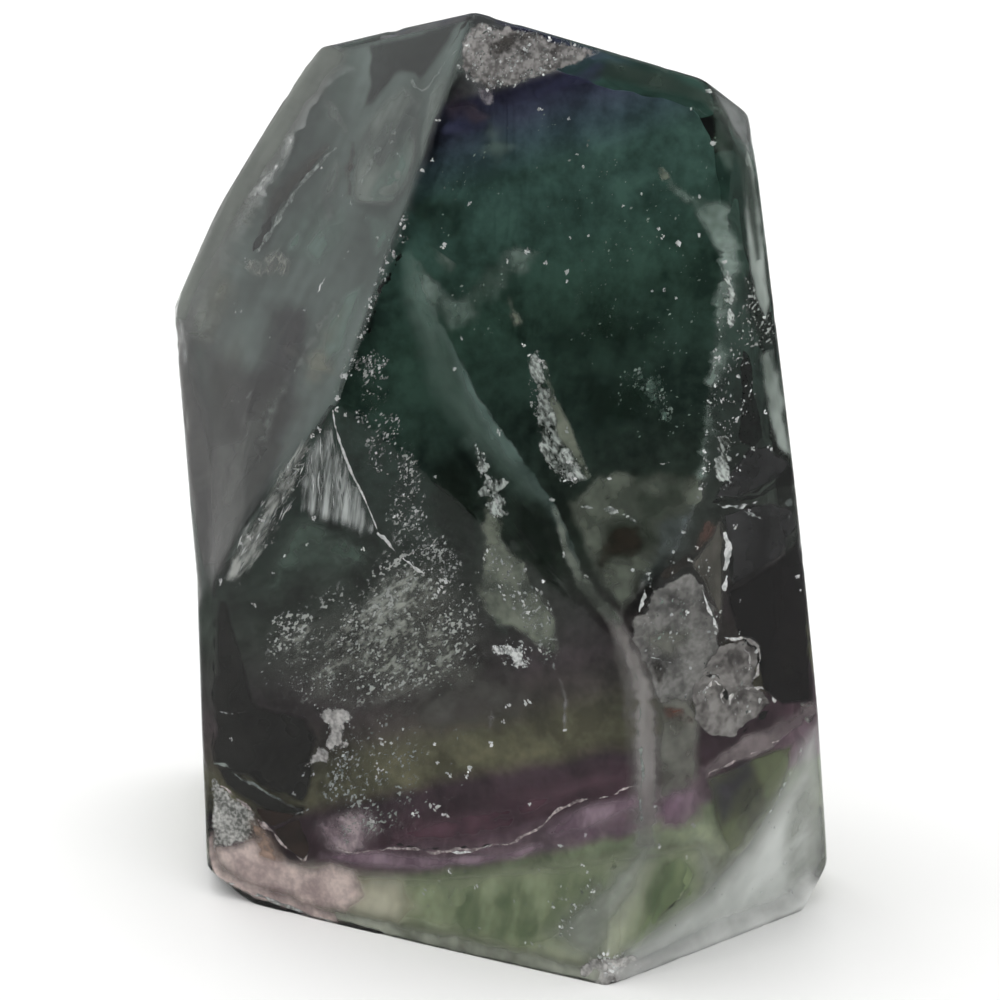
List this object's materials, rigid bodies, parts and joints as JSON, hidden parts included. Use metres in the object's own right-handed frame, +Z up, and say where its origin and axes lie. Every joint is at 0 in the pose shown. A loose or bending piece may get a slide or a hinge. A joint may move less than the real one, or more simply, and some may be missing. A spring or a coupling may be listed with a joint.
{
  "type": "fluorite point",
  "caption": "Hand-cut polished crystal point of clear green and purple fluorite, standing on its flat ground base.",
  "frame": {"origin": "on the ground base, under the middle of the stone's outline", "axes": "+Z up to the tip, -Y out of the tall front face, +X to the stone's right as seen from the front"},
  "size_m": [0.0543, 0.0445, 0.0736],
  "materials": {
    "polished_fluorite": "wheel-polished clear stone with a slight haze, fractures and colour bands inside"
  },
  "bodies": {
    "root": {"fluorite_point": "polished_fluorite"}
  },
  "joints": []
}
